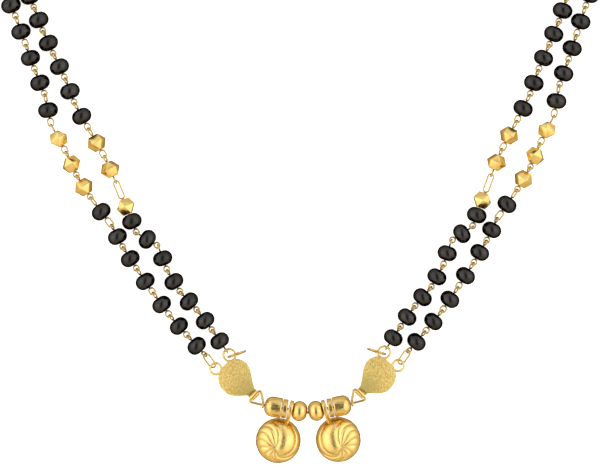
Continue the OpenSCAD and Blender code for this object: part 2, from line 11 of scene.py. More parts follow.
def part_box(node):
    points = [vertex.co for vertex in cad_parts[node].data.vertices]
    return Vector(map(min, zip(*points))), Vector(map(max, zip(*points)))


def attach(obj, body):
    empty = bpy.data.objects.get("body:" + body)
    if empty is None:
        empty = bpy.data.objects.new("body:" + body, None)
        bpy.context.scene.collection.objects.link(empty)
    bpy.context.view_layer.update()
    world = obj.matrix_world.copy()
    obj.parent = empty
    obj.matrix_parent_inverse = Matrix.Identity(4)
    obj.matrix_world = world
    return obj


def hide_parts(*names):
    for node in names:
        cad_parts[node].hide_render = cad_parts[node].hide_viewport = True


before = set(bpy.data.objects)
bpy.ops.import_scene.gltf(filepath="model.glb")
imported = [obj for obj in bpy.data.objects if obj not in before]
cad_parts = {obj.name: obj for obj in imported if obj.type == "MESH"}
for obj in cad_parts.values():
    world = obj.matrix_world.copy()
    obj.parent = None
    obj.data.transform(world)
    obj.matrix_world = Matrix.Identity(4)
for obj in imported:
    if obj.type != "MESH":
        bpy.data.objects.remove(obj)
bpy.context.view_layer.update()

bl_info = {
    "name": "Mangalsutra",
    "version": (1, 0, 0),
    "blender": (4, 5, 0),
    "location": "View3D > Sidebar > Mangalsutra",
    "description": "Finishes a mangalsutra that lies flat, and lights it",
    "category": "Object",
}

BODY = "root"
SIDES = ("left", "right")
STRANDS = ("outer", "inner")
MM = 0.001


# Places that the pieces share


def corners(node):
    low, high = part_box(node)
    return Vector(low), Vector(high)


def middle(node):
    low, high = corners(node)
    return (low + high) / 2


class Layout:
    """Sizes of the strands, as in the part's source, and the joints of the hidden stretch.

    Lengths are in millimetres and angles in degrees.
    """

    bead_len = 3.35
    wire = 0.38
    shaft = 0.36
    flat_eye = 0.86
    edge_eye = 0.76
    joint_play = 0.12
    face_gap = 0.04
    loop_wire = 0.5
    strand_gap = 5.4
    back_r = 69.8
    back_rise = 24.65
    back_pitch = 6.15
    clasp_len = 9.0
    clasp_loop_r = 1.2
    strand_z = 2.3
    eye_turn = 65.0
    last_joint = {"outer": (-65.3, 100.8), "inner": (-60.9, 102.5)}
    tab = (-11.75, 10.4)

    def __init__(self):
        self.back_y = self.last_joint["outer"][1] + self.back_rise
        clasp_y = self.back_y + self.back_r - self.strand_gap / 2
        self.shift = middle("clasp").y / MM - clasp_y

    def place(self, x, y, z=0.0):
        """A point of the layout in the object's own frame, in metres."""
        return Vector((x, y + self.shift, z)) * MM

    def overshoot(self, mate):
        return (self.wire + mate + 2 * self.joint_play) / 4

    def back_joints(self, strand):
        """Joints of the hidden stretch, from the last visible joint to the clasp."""
        end_r = self.back_r - (self.strand_gap if strand == "inner" else 0)
        loop_x = -(self.clasp_len / 2 + self.clasp_loop_r)
        end = Vector((loop_x - self.clasp_loop_r + self.overshoot(self.loop_wire), end_r))
        start = Vector(self.last_joint[strand]) - Vector((0, self.back_y))
        first = (start.length, self.bearing(start))
        last = (end.length, self.bearing(end))
        arc = math.radians(first[1] - last[1]) * (first[0] + last[0]) / 2
        count = round(arc / self.back_pitch)
        joints = []
        for i in range(count + 1):
            part = i / count
            radius = first[0] + (last[0] - first[0]) * (1 - (1 - part) ** 3)
            angle = math.radians(first[1] + (last[1] - first[1]) * part)
            x, y = radius * math.cos(angle), radius * math.sin(angle)
            joints.append(Vector((x, y + self.back_y)))
        return joints

    @staticmethod
    def bearing(v):
        """Degrees from +X, from 0 to 360."""
        return math.degrees(math.atan2(-v.y, -v.x)) + 180


layout = Layout()


# Meshes


def join_scene(mesh, name, *nodes, slot, material):
    """Puts a finished mesh into the scene in place of the nodes that it stands for."""
    piece = bpy.data.objects.new(name, mesh)
    bpy.context.scene.collection.objects.link(piece)
    mesh.materials.clear()
    mesh.materials.append(material)
    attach(piece, BODY)
    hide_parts(*nodes)
    return piece


def copied_mesh(node, name, merge=1e-3 * MM, degenerate=1e-4 * MM):
    """A copy of a node's mesh whose triangles share their points."""
    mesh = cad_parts[node].data.copy()
    mesh.name = name
    shape = bmesh.new()
    shape.from_mesh(mesh)
    bmesh.ops.remove_doubles(shape, verts=shape.verts, dist=merge)
    bmesh.ops.dissolve_degenerate(shape, edges=shape.edges, dist=degenerate)
    shape.to_mesh(mesh)
    shape.free()
    return mesh


def smooth_by_angle(mesh, degrees):
    for face in mesh.polygons:
        face.use_smooth = True
    mesh.set_sharp_from_angle(angle=math.radians(degrees))


def smooth_copy(node, name, slot, material, degrees=35.0):
    mesh = copied_mesh(node, name)
    smooth_by_angle(mesh, degrees)
    return join_scene(mesh, name, node, slot=slot, material=material)


def bevelled_copy(
    node, name, slot, material, width, segments=3, sharp_angle=30.0, flat_angle=0.5
):
    """A copy of a node whose flats are whole faces and whose edges are rounded."""
    mesh = copied_mesh(node, name)
    shape = bmesh.new()
    shape.from_mesh(mesh)
    bmesh.ops.dissolve_limit(
        shape, angle_limit=math.radians(flat_angle), verts=shape.verts, edges=shape.edges
    )
    limit = math.radians(sharp_angle)
    sharp = [e for e in shape.edges if len(e.link_faces) == 2 and e.calc_face_angle(0) > limit]
    bmesh.ops.bevel(
        shape, geom=sharp, offset=width, segments=segments, profile=0.5, affect="EDGES",
        clamp_overlap=True,
    )
    shape.to_mesh(mesh)
    shape.free()
    smooth_by_angle(mesh, sharp_angle)
    return join_scene(mesh, name, node, slot=slot, material=material)


# Node trees


class NodeTree:
    """A node tree, with short ways to add nodes to it and to join them."""

    def __init__(self, tree):
        self.nodes = tree.nodes
        self.links = tree.links

    def add(self, kind, **values):
        node = self.nodes.new(kind)
        for key, value in values.items():
            setattr(node, key, value)
        return node

    def link(self, source, target):
        self.links.new(source, target)

    def feed(self, sockets, values):
        """Gives each socket its value: a number, a colour or another node's output."""
        for socket, value in zip(sockets, values):
            if isinstance(value, (int, float, tuple)):
                socket.default_value = value
            else:
                self.link(value, socket)

    def maths(self, operation, *values):
        node = self.add("ShaderNodeMath", operation=operation)
        self.feed(node.inputs, values)
        return node.outputs["Value"]

    def noise(self, vector, scale, detail=3.0, roughness=0.5):
        node = self.add("ShaderNodeTexNoise")
        sockets = [node.inputs[key] for key in ("Vector", "Scale", "Detail", "Roughness")]
        self.feed(sockets, (vector, scale, detail, roughness))
        return node.outputs["Fac"]

    def span(self, value, limits, to_low=0.0, to_high=1.0, easing="LINEAR"):
        """Maps the value from between its limits to between two others."""
        node = self.add("ShaderNodeMapRange", interpolation_type=easing)
        names = ("Value", "From Min", "From Max", "To Min", "To Max")
        self.feed([node.inputs[key] for key in names], (value, *limits, to_low, to_high))
        return node.outputs["Result"]

    def mix(self, factor, first, second):
        node = self.add("ShaderNodeMix", data_type="RGBA")
        self.feed([node.inputs[key] for key in ("Factor", "A", "B")], (factor, first, second))
        return node.outputs["Result"]


# Finishes


# Most of what a noise texture gives lies between these
NOISE_LIMITS = (0.3, 0.7)


class Finish(NodeTree):
    """A node material with a Principled shader and the object's own coordinates."""

    def __init__(self, name):
        self.material = bpy.data.materials.new(name)
        self.material.use_nodes = True
        super().__init__(self.material.node_tree)
        self.shader = self.nodes["Principled BSDF"]
        self.place = self.add("ShaderNodeTexCoord").outputs["Object"]

    def set(self, **values):
        for key, value in values.items():
            self.shader.inputs[key.replace("_", " ")].default_value = value

    def plug(self, key, source):
        self.link(source, self.shader.inputs[key])

    def grain(self, scale, detail=3.0, roughness=0.5):
        return self.noise(self.place, scale, detail, roughness)

    def ramp(self, value, *stops):
        node = self.add("ShaderNodeValToRGB")
        points = node.color_ramp.elements
        while len(points) < len(stops):
            points.new(0.5)
        for point, (position, colour) in zip(points, stops):
            point.position = position
            point.color = (*colour[:3], 1.0)
        self.link(value, node.inputs["Fac"])
        return node.outputs["Color"]

    def bump(self, height, distance, strength=1.0, normal=None):
        node = self.add("ShaderNodeBump")
        node.inputs["Distance"].default_value = distance
        node.inputs["Strength"].default_value = strength
        self.link(height, node.inputs["Height"])
        if normal:
            self.link(normal, node.inputs["Normal"])
        return node.outputs["Normal"]

    def paint(self, scale, low, high, detail=2.0):
        """Colours the piece in soft patches between two colours."""
        stops = zip(NOISE_LIMITS, (low, high))
        self.plug("Base Color", self.ramp(self.grain(scale, detail), *stops))

    def roughen(self, scale, low, high, detail=3.0):
        """Varies the roughness in patches between two values."""
        self.plug("Roughness", self.span(self.grain(scale, detail), NOISE_LIMITS, low, high))


# What gold keeps of the light that grazes its edges
RIM_TINT = (0.95, 0.72, 0.4, 1.0)
GOLD_GLOSS = {
    "Metallic": 1.0,
    "Specular_Tint": RIM_TINT,
    "Coat_Weight": 0.5,
    "Coat_Roughness": 0.2,
}

# Distances from the hole in a plate's tab: polished up to the first, blasted from the second, and
# a painted dark reflection, olive on the grains, fading out up to the third
TAB_POLISHED, TAB_BLASTED, TAB_SHADED = 1.1 * MM, 1.5 * MM, 6.0 * MM


def colours():
    return bpy.context.scene.mangalsutra_colours


def sizes():
    return bpy.context.scene.mangalsutra_sizes


def shade(colour, factor):
    return tuple(min(channel * factor, 1.0) for channel in colour[:3])


def polished_gold(name, roughness=0.16, tint=1.0):
    finish = Finish(name)
    gold = colours().gold
    # The tint factor makes lighter or darker copies of the same gold: painted light above 1,
    # painted shade below 1
    finish.paint(450, shade(gold, 0.88 * tint), shade(gold, 1.06 * tint))
    finish.roughen(2600, roughness * 0.8, roughness * 1.25, detail=2.0)
    finish.plug("Normal", finish.bump(finish.grain(900), 0.01 * MM, 0.5))
    finish.set(**GOLD_GLOSS)
    return finish.material


def matt_gold(name):
    """Sandblasted gold on a plate's top, and polished gold on its edges, tab and loops, with a
    painted dark olive reflection on the grains near each tab.
    """
    finish = Finish(name)
    matt = colours().matt_gold
    polished = (*colours().gold, 1.0)
    painted_reflection = (*colours().painted_reflection, 1.0)
    across = finish.add("ShaderNodeMapping")
    across.inputs["Rotation"].default_value = (0.0, 0.0, math.radians(25))
    across.inputs["Scale"].default_value = (1.0, 0.5, 1.0)
    finish.link(finish.place, across.inputs["Vector"])
    grain = finish.noise(across.outputs["Vector"], 3800, roughness=0.6)
    stops = ((0.34, shade(matt, 0.72)), (0.5, shade(matt, 1.0)), (0.66, shade(matt, 1.4)))
    grains = finish.ramp(grain, *stops)

    upright = finish.add("ShaderNodeSeparateXYZ")
    faces = finish.add("ShaderNodeNewGeometry").outputs["Normal"]
    finish.link(faces, upright.inputs["Vector"])
    blasted = finish.span(finish.maths("ABSOLUTE", upright.outputs["Z"]), (0.9, 0.985))
    tab = layout.place(*layout.tab, layout.strand_z)
    for side in (1, -1):
        reach = finish.add("ShaderNodeVectorMath", operation="DISTANCE")
        reach.inputs[1].default_value = (side * tab.x, tab.y, tab.z)
        finish.link(finish.place, reach.inputs[0])
        clear = finish.span(reach.outputs["Value"], (TAB_POLISHED, TAB_BLASTED))
        blasted = finish.maths("MULTIPLY", blasted, clear)
        # Painted dark reflection: the grains turn olive near each tab and fade back out by
        # TAB_SHADED
        near = finish.span(reach.outputs["Value"], (TAB_BLASTED, TAB_SHADED), 1.0, 0.0)
        grains = finish.mix(finish.maths("MULTIPLY", near, grain), grains, painted_reflection)
    finish.plug("Base Color", finish.mix(blasted, polished, grains))
    finish.plug("Roughness", finish.span(blasted, (0.0, 1.0), 0.2, 0.46))
    height = finish.maths("MULTIPLY", grain, blasted)
    finish.plug("Normal", finish.bump(height, 0.08 * MM, 0.8))
    finish.set(Metallic=1.0, Specular_Tint=RIM_TINT)
    return finish.material


def black_glass(name):
    """A dim mirror that stays dark towards its edges, as opaque glass does against white."""
    finish = Finish(name)
    black = colours().glass
    finish.paint(320, shade(black, 0.8), shade(black, 1.2))
    finish.roughen(1500, 0.09, 0.16)
    finish.plug("Normal", finish.bump(finish.grain(700), 0.012 * MM, 0.5))
    finish.set(Metallic=1.0, Specular_Tint=(0.15, 0.15, 0.15, 1.0))
    return finish.material


def turned_gold(name):
    """Polished gold with fine turned lines."""
    finish = Finish(name)
    gold = colours().gold
    finish.paint(500, shade(gold, 0.86), shade(gold, 1.04))
    lines = finish.add("ShaderNodeTexWave", bands_direction="Y")
    sockets = [lines.inputs[key] for key in ("Vector", "Scale", "Distortion", "Detail Scale")]
    finish.feed(sockets, (finish.place, 640, 1.6, 0.6))
    turned = finish.bump(lines.outputs["Fac"], 0.02 * MM, 0.6)
    finish.plug("Normal", finish.bump(finish.grain(700, detail=1.0), 0.3 * MM, 0.5, turned))
    finish.set(Roughness=0.15, **GOLD_GLOSS)
    return finish.material


def vati_gold(name):
    """Polished gold with shallow dents, which break up what it reflects."""
    finish = Finish(name)
    gold = colours().gold
    finish.paint(380, shade(gold, 0.95), shade(gold, 1.1))
    finish.roughen(2600, 0.2, 0.32)
    finish.plug("Normal", finish.bump(finish.grain(1900, detail=2.0), 0.06 * MM, 0.6))
    finish.set(**GOLD_GLOSS)
    return finish.material


def finish_named(name, make, **values):
    """The material of that name, which is made where it is first used."""
    return bpy.data.materials.get(name) or make(name, **values)


def gold_finish():
    return finish_named("Polished gold", polished_gold)


def wire_finish():
    # Polished gold painted darker: painted shade standing in for the shade on the thin wires
    return finish_named("Wire gold with painted shade", polished_gold, roughness=0.2, tint=0.78)


# Properties


def length_property(name, description, default):
    return FloatProperty(
        name=name, description=description, default=default, unit="LENGTH", precision=5
    )


def colour_property(name, description, default):
    return FloatVectorProperty(
        name=name, description=description, default=default, subtype="COLOR", size=3,
        min=0.0, max=1.0,
    )


class MangalsutraSizes(bpy.types.PropertyGroup):
    bead_bevel: length_property("Gold bead edge", "Rounding of a faceted bead's edges", 0.09 * MM)
    plate_bevel: length_property("Plate edge", "Rounding of a plate's edge", 0.14 * MM)
    clasp_bevel: length_property("Clasp edge", "Rounding of the clasp's edges", 0.25 * MM)
    wire_sides: IntProperty(
        name="Wire sides", description="Sides of a hidden link's wire", default=10, min=6, max=16
    )
    rib_columns: IntProperty(
        name="Rib columns", description="Columns of faces on each rib of a vati", default=14,
        min=6, max=24,
    )


class MangalsutraColours(bpy.types.PropertyGroup):
    gold: colour_property("Gold", "Colour of polished gold", (0.83, 0.59, 0.185))
    matt_gold: colour_property("Matt gold", "Colour of the plates' top", (0.84, 0.6, 0.2))
    # Painted dark reflection: the olive that the plates' grains take on near the tab
    painted_reflection: colour_property(
        "Painted reflection", "Colour of the plates' grains near the tab", (0.372, 0.336, 0.096)
    )
    glass: colour_property("Glass", "Colour of the black beads", (0.048, 0.046, 0.044))


# Pieces


class MANGALSUTRA_OT_black_beads(bpy.types.Operator):
    """Black glass beads of the four strand halves"""

    bl_idname = "mangalsutra.black_beads"
    bl_label = "Black beads"

    def execute(self, context):
        glass = finish_named("Black glass", black_glass)
        for strand in STRANDS:
            for side in SIDES:
                half = f"{strand}_{side}"
                smooth_copy(f"black_beads_{half}", f"glass_beads_{half}", "black_glass", glass)
        return {"FINISHED"}


class MANGALSUTRA_OT_gold_beads(bpy.types.Operator):
    """Faceted gold beads with slightly rounded edges"""

    bl_idname = "mangalsutra.gold_beads"
    bl_label = "Gold beads"

    def execute(self, context):
        # Polished gold painted lighter: painted light standing in for the light on the facets
        gold = finish_named("Facet gold with painted light", polished_gold, roughness=0.22, tint=1.1)
        for strand in STRANDS:
            for side in SIDES:
                for number in (1, 2, 3):
                    bead = f"{strand}_{side}_{number}"
                    bevelled_copy(
                        f"gold_bead_{bead}", f"facet_bead_{bead}", "gold", gold,
                        sizes().bead_bevel, segments=2,
                    )
        return {"FINISHED"}


class MANGALSUTRA_OT_wires(bpy.types.Operator):
    """Visible links, jump rings and the centre wire"""

    bl_idname = "mangalsutra.wires"
    bl_label = "Links and rings"

    def execute(self, context):
        gold = wire_finish()
        for side in SIDES:
            for strand in STRANDS:
                smooth_copy(f"links_{strand}_{side}", f"wire_links_{strand}_{side}", "gold", gold)
            smooth_copy(f"jump_ring_{side}", f"oval_ring_{side}", "gold", gold)
            smooth_copy(f"loose_ring_{side}", f"spare_ring_{side}", "gold", gold)
        smooth_copy("centre_wire", "middle_wire", "gold", gold, degrees=50.0)
        return {"FINISHED"}


class LinkTree(NodeTree):
    """Geometry nodes that set a link of wire with two eyes on each point of a strand."""

    inputs = (
        ("Length", "NodeSocketFloat"),
        ("Eye reach", "NodeSocketFloat"),
        ("Eye inset", "NodeSocketFloat"),
        ("Flat eye width", "NodeSocketFloat"),
        ("Edge eye width", "NodeSocketFloat"),
        ("Wire", "NodeSocketFloat"),
        ("Shaft", "NodeSocketFloat"),
        ("Sides", "NodeSocketInt"),
        ("Material", "NodeSocketMaterial"),
    )
    round_steps = 8
    # Just under half an eye's width, so that the two corners of an end don't run into each other
    round_share = 0.499

    def __init__(self):
        self.tree = bpy.data.node_groups.new("Links of a strand", "GeometryNodeTree")
        super().__init__(self.tree)
        sockets = self.tree.interface
        sockets.new_socket("Geometry", in_out="INPUT", socket_type="NodeSocketGeometry")
        for name, kind in self.inputs:
            sockets.new_socket(name, in_out="INPUT", socket_type=kind)
        sockets.new_socket("Geometry", in_out="OUTPUT", socket_type="NodeSocketGeometry")
        self.given = self.add("NodeGroupInput").outputs
        self.build()

    def vector(self, x=0.0, y=0.0, z=0.0):
        node = self.add("ShaderNodeCombineXYZ")
        self.feed(node.inputs, (x, y, z))
        return node.outputs["Vector"]

    def tube(self, curve, thickness):
        profile = self.add("GeometryNodeCurvePrimitiveCircle")
        self.link(self.given["Sides"], profile.inputs["Resolution"])
        self.link(self.maths("MULTIPLY", thickness, 0.5), profile.inputs["Radius"])
        tube = self.add("GeometryNodeCurveToMesh")
        tube.inputs["Fill Caps"].default_value = True
        self.link(curve, tube.inputs["Curve"])
        self.link(profile.outputs["Curve"], tube.inputs["Profile Curve"])
        return tube.outputs["Mesh"]

    def moved(self, mesh, offset, turn=(0.0, 0.0, 0.0)):
        node = self.add("GeometryNodeTransform")
        node.inputs["Rotation"].default_value = turn
        self.link(mesh, node.inputs["Geometry"])
        self.link(offset, node.inputs["Translation"])
        return node.outputs["Geometry"]

    def eye(self, width):
        """An oval of wire, as long as the eye's reach and inset together, about its middle."""
        length = self.maths("ADD", self.given["Eye reach"], self.given["Eye inset"])
        height = self.maths("ADD", width, self.given["Wire"])
        outline = self.add("GeometryNodeCurvePrimitiveQuadrilateral")
        self.link(length, outline.inputs["Width"])
        self.link(height, outline.inputs["Height"])
        round_ends = self.add("GeometryNodeFilletCurve", mode="POLY")
        round_ends.inputs["Count"].default_value = self.round_steps
        round_ends.inputs["Limit Radius"].default_value = True
        self.link(self.maths("MULTIPLY", height, self.round_share), round_ends.inputs["Radius"])
        self.link(outline.outputs["Curve"], round_ends.inputs["Curve"])
        return self.tube(round_ends.outputs["Curve"], self.given["Wire"])

    def build(self):
        given = self.given
        depth = self.maths("SUBTRACT", given["Eye inset"], given["Eye reach"])
        lower_at = self.maths("MULTIPLY", depth, 0.5)
        upper_at = self.maths("SUBTRACT", given["Length"], lower_at)
        tilt = (math.radians(layout.eye_turn), 0.0, 0.0)
        lower = self.moved(self.eye(given["Flat eye width"]), self.vector(lower_at))
        upper = self.moved(self.eye(given["Edge eye width"]), self.vector(upper_at), tilt)

        line = self.add("GeometryNodeCurvePrimitiveLine")
        self.link(self.vector(given["Eye inset"]), line.inputs["Start"])
        end = self.maths("SUBTRACT", given["Length"], given["Eye inset"])
        self.link(self.vector(end), line.inputs["End"])
        shaft = self.tube(line.outputs["Curve"], given["Shaft"])

        link = self.add("GeometryNodeJoinGeometry")
        for part in (lower, upper, shaft):
            self.link(part, link.inputs["Geometry"])

        turn = self.add("GeometryNodeInputNamedAttribute", data_type="FLOAT")
        turn.inputs["Name"].default_value = "turn"
        facing = self.add("FunctionNodeEulerToRotation")
        self.link(self.vector(z=turn.outputs["Attribute"]), facing.inputs["Euler"])
        points = self.add("GeometryNodeMeshToPoints")
        self.link(given["Geometry"], points.inputs["Mesh"])
        each = self.add("GeometryNodeInstanceOnPoints")
        self.link(points.outputs["Points"], each.inputs["Points"])
        self.link(link.outputs["Geometry"], each.inputs["Instance"])
        self.link(facing.outputs["Rotation"], each.inputs["Rotation"])

        real = self.add("GeometryNodeRealizeInstances")
        self.link(each.outputs["Instances"], real.inputs["Geometry"])
        smooth = self.add("GeometryNodeSetShadeSmooth")
        self.link(real.outputs["Geometry"], smooth.inputs["Geometry"])
        painted = self.add("GeometryNodeSetMaterial")
        self.link(smooth.outputs["Geometry"], painted.inputs["Geometry"])
        self.link(given["Material"], painted.inputs["Material"])
        self.link(painted.outputs["Geometry"], self.add("NodeGroupOutput").inputs["Geometry"])


def set_inputs(modifier, values):
    """Sets a Geometry Nodes modifier's inputs by their shown names."""
    for socket in modifier.node_group.interface.items_tree:
        if socket.item_type == "SOCKET" and socket.in_out == "INPUT" and socket.name in values:
            modifier[socket.identifier] = values[socket.name]


def plain_mesh(carrier, name):
    """The carrier's evaluated mesh as a mesh of its own, and the carrier removed."""
    evaluated = carrier.evaluated_get(bpy.context.evaluated_depsgraph_get())
    mesh = bpy.data.meshes.new_from_object(evaluated)
    mesh.name = name
    bpy.data.objects.remove(carrier)
    return mesh


class MANGALSUTRA_OT_hidden_links(bpy.types.Operator):
    """Links of the hidden stretch, in place of its plain wires"""

    bl_idname = "mangalsutra.hidden_links"
    bl_label = "Hidden links"

    def execute(self, context):
        gold = wire_finish()
        tree = LinkTree().tree
        for strand in STRANDS:
            joints = layout.back_joints(strand)
            steps = [b - a for a, b in zip(joints, joints[1:])]
            length = sum(step.length for step in steps) / len(steps)
            free = (length - layout.bead_len) / 2
            for side, sign in (("left", 1), ("right", -1)):
                points = bpy.data.meshes.new("joints")
                places = [layout.place(sign * j.x, j.y, layout.strand_z) for j in joints[:-1]]
                points.from_pydata(places, [], [])
                turns = points.attributes.new("turn", "FLOAT", "POINT")
                turns.data.foreach_set("value", [math.atan2(s.y, sign * s.x) for s in steps])
                carrier = bpy.data.objects.new("joints", points)
                context.scene.collection.objects.link(carrier)
                modifier = carrier.modifiers.new("Links", "NODES")
                modifier.node_group = tree
                set_inputs(modifier, {
                    "Length": length * MM,
                    "Eye reach": layout.overshoot(layout.wire) * MM,
                    "Eye inset": (free - layout.face_gap - layout.wire / 2) * MM,
                    "Flat eye width": layout.flat_eye * MM,
                    "Edge eye width": layout.edge_eye * MM,
                    "Wire": layout.wire * MM,
                    "Shaft": layout.shaft * MM,
                    "Sides": sizes().wire_sides,
                    "Material": gold,
                })
                name = f"hidden_links_{strand}_{side}"
                mesh = plain_mesh(carrier, name)
                join_scene(mesh, name, f"back_wire_{strand}_{side}", slot="gold", material=gold)
        return {"FINISHED"}


class MANGALSUTRA_OT_plates(bpy.types.Operator):
    """Sandblasted plates with polished edges, tabs and loops"""

    bl_idname = "mangalsutra.plates"
    bl_label = "Plates"

    def execute(self, context):
        matt = finish_named("Sandblasted gold", matt_gold)
        for side in SIDES:
            bevelled_copy(
                f"plate_{side}", f"matt_plate_{side}", "matt_gold", matt, sizes().plate_bevel,
                sharp_angle=40.0,
            )
        return {"FINISHED"}


class MANGALSUTRA_OT_balls(bpy.types.Operator):
    """Turned balls and spacer rings"""

    bl_idname = "mangalsutra.balls"
    bl_label = "Balls and spacers"

    def execute(self, context):
        turned = finish_named("Turned gold", turned_gold)
        for side in SIDES:
            smooth_copy(f"ball_outer_{side}", f"turned_ball_{side}", "gold", turned)
            smooth_copy(f"ball_inner_{side}", f"plain_ball_{side}", "gold", gold_finish())
            smooth_copy(f"spacer_{side}", f"spacer_ring_{side}", "gold", turned)
        return {"FINISHED"}


def soft(share, power):
    """A sine or cosine whose curve is squarer the lower the power is."""
    return math.copysign(abs(share) ** power, share)


class Vati:
    """Surface of a vati and its bail, in millimetres about its middle, with +X towards the bail.

    The swirl is that of the part's source with more points: ribs leave the focus, bend round and
    end on the edge, and the stretch between the last rib and the first is one smooth bulge.
    """

    radius = 5.0
    height = 4.3
    edge = 0.6
    relief = 0.3
    wall = 0.5
    hollow = 3.5
    lean = 26.0
    ribs = 8
    focus = (-0.32 * radius, -0.03 * radius)
    bulge = 1.3
    crest = 0.7
    bulge_share = 4
    rim_wave = 0.014
    rim_ease = 12

    # The bail is a band round the wire, narrower where its two ends meet at the vati
    bail_turn = 10.5
    bail_out = 2.9
    bail_sink = 0.3
    bail_r = 1.85
    bail_t = 0.4
    bail_w = 0.85
    bail_foot_w = 0.75
    bail_reach = 0.35
    bail_tip = -0.5
    bail_soft = (0.4, 0.6)
    side_steps = 6
    wire_z = 2.25

    def __init__(self, rib_columns):
        self.columns = self.ribs * rib_columns
        self.bulge_columns = self.bulge_share * rib_columns
        self.count = self.columns + self.bulge_columns

    def rib_start(self, u):
        return -4 + 35 * u - 0.87 * u * u

    def rib_end(self, u):
        return 53 + 19 * u + 175 * (u / self.ribs) ** 4.7

    def angles(self, column):
        """Where a column starts and ends, and how far it is through the ribs or the bulge."""
        if column <= self.columns:
            u = column / self.columns * self.ribs
            return self.rib_start(u), self.rib_end(u), u, None
        part = (column - self.columns) / self.bulge_columns
        ends = []
        for angle in (self.rib_start, self.rib_end):
            ends.append(angle(self.ribs) + (angle(0) + 360 - angle(self.ribs)) * part)
        return ends[0], ends[1], None, part

    def rise(self, u, part, t):
        """Relief of a rib or of the bulge, as a share, at t from the focus to the edge."""
        if part is None:
            along = math.sin(math.pi / 2 * min(t * 1.4, 1)) ** (1.2 + 0.3 * u)
            return abs(math.sin(math.pi * u)) ** self.crest * along
        across = max(math.sin(math.pi * part), 0) ** self.crest
        return self.bulge * across * math.sin(math.pi * t**0.8)

    def dome_point(self, column, t):
        start, end, u, part = self.angles(column)
        angle = math.radians(start + (end - start) * t**3)
        rim = self.radius
        if part is None:
            rim *= 1 + self.rim_wave * (abs(math.sin(math.pi * u)) - 0.5) * t**6
        x = self.focus[0] * (1 - t) + math.cos(angle) * rim * t
        y = self.focus[1] * (1 - t) + math.sin(angle) * rim * t
        base = max(1 - (x * x + y * y) / self.radius**2, 0)
        z = self.edge + (self.height - self.relief - self.edge) * math.sqrt(base)
        eased = min(1, (1 - t) * self.rim_ease)
        return Vector((x, y, z + self.relief * self.rise(u, part, t) * eased))

    def hollow_point(self, column, part):
        mouth = self.radius - self.wall
        ball = (mouth**2 + self.hollow**2) / (2 * self.hollow)
        r = mouth * (1 - part)
        angle = math.radians(self.angles(column)[1])
        z = self.hollow - ball + math.sqrt(ball**2 - r**2)
        return Vector((r * math.cos(angle), r * math.sin(angle), z))

    def shell(self, rings=40, inner_rings=8):
        """Points and faces of the dome, its rim and the hollow below it."""
        count = self.count
        points = [self.dome_point(0, 0)]
        for ring in range(1, rings + 1):
            t = math.sin(math.pi / 2 * ring / rings)
            points += [self.dome_point(column, t) for column in range(count)]
        points += [Vector((p.x, p.y, 0)) for p in points[-count:]]
        for ring in range(inner_rings):
            points += [self.hollow_point(column, ring / inner_rings) for column in range(count)]
        points.append(Vector((0, 0, self.hollow)))
        last = len(points) - 1 - count
        faces = []
        for c in range(count):
            d = (c + 1) % count
            faces.append((0, 1 + c, 1 + d))
            for a in range(1, last, count):
                faces.append((a + c, a + count + c, a + count + d, a + d))
            faces.append((last + c, len(points) - 1, last + d))
        return points, faces

    def bail_path(self, steps=36):
        """The bail's middle line beside its wire: along +X to the vati, and up."""
        tip = Vector((self.bail_out + self.bail_reach, self.bail_tip))
        bearing = math.atan2(tip.y, tip.x)
        reach = math.acos(self.bail_r / tip.length)
        first, last = bearing + reach, bearing - reach + 2 * math.pi
        turns = [first + (last - first) * i / steps for i in range(steps + 1)]
        ring = [Vector((math.cos(a), math.sin(a))) * self.bail_r for a in turns]
        sides = [i / self.side_steps for i in range(self.side_steps)]
        return (
            [tip.lerp(ring[0], part) for part in sides]
            + ring
            + [ring[-1].lerp(tip, part) for part in sides[1:] + [1]]
        )

    def bail(self, sides=16):
        """Points and faces of a band with soft edges, about its wire."""
        path = self.bail_path()
        points, faces = [], []
        for i, place in enumerate(path):
            ahead = (path[min(i + 1, len(path) - 1)] - path[max(i - 1, 0)]).normalized()
            out = Vector((ahead.y, -ahead.x))
            nearness = min(max((place.x - self.bail_r * 0.4) / self.bail_out, 0), 1)
            width = self.bail_w + (self.bail_foot_w - self.bail_w) * nearness
            for k in range(sides):
                a = 2 * math.pi * k / sides
                across = soft(math.cos(a), self.bail_soft[0]) * width / 2
                over = out * soft(math.sin(a), self.bail_soft[1]) * self.bail_t / 2
                points.append(Vector((place.x + over.x, across, place.y + over.y)))
        for i in range(0, (len(path) - 1) * sides, sides):
            for k in range(sides):
                m = (k + 1) % sides
                faces.append((i + k, i + m, i + sides + m, i + sides + k))
        faces += [tuple(range(sides)), tuple(range((len(path) - 1) * sides, len(path) * sides))]
        return points, faces


def turned(angle, place):
    """Turns about Z by degrees, and then moves to the place."""
    return Matrix.Translation(place) @ Matrix.Rotation(math.radians(angle), 4, "Z")


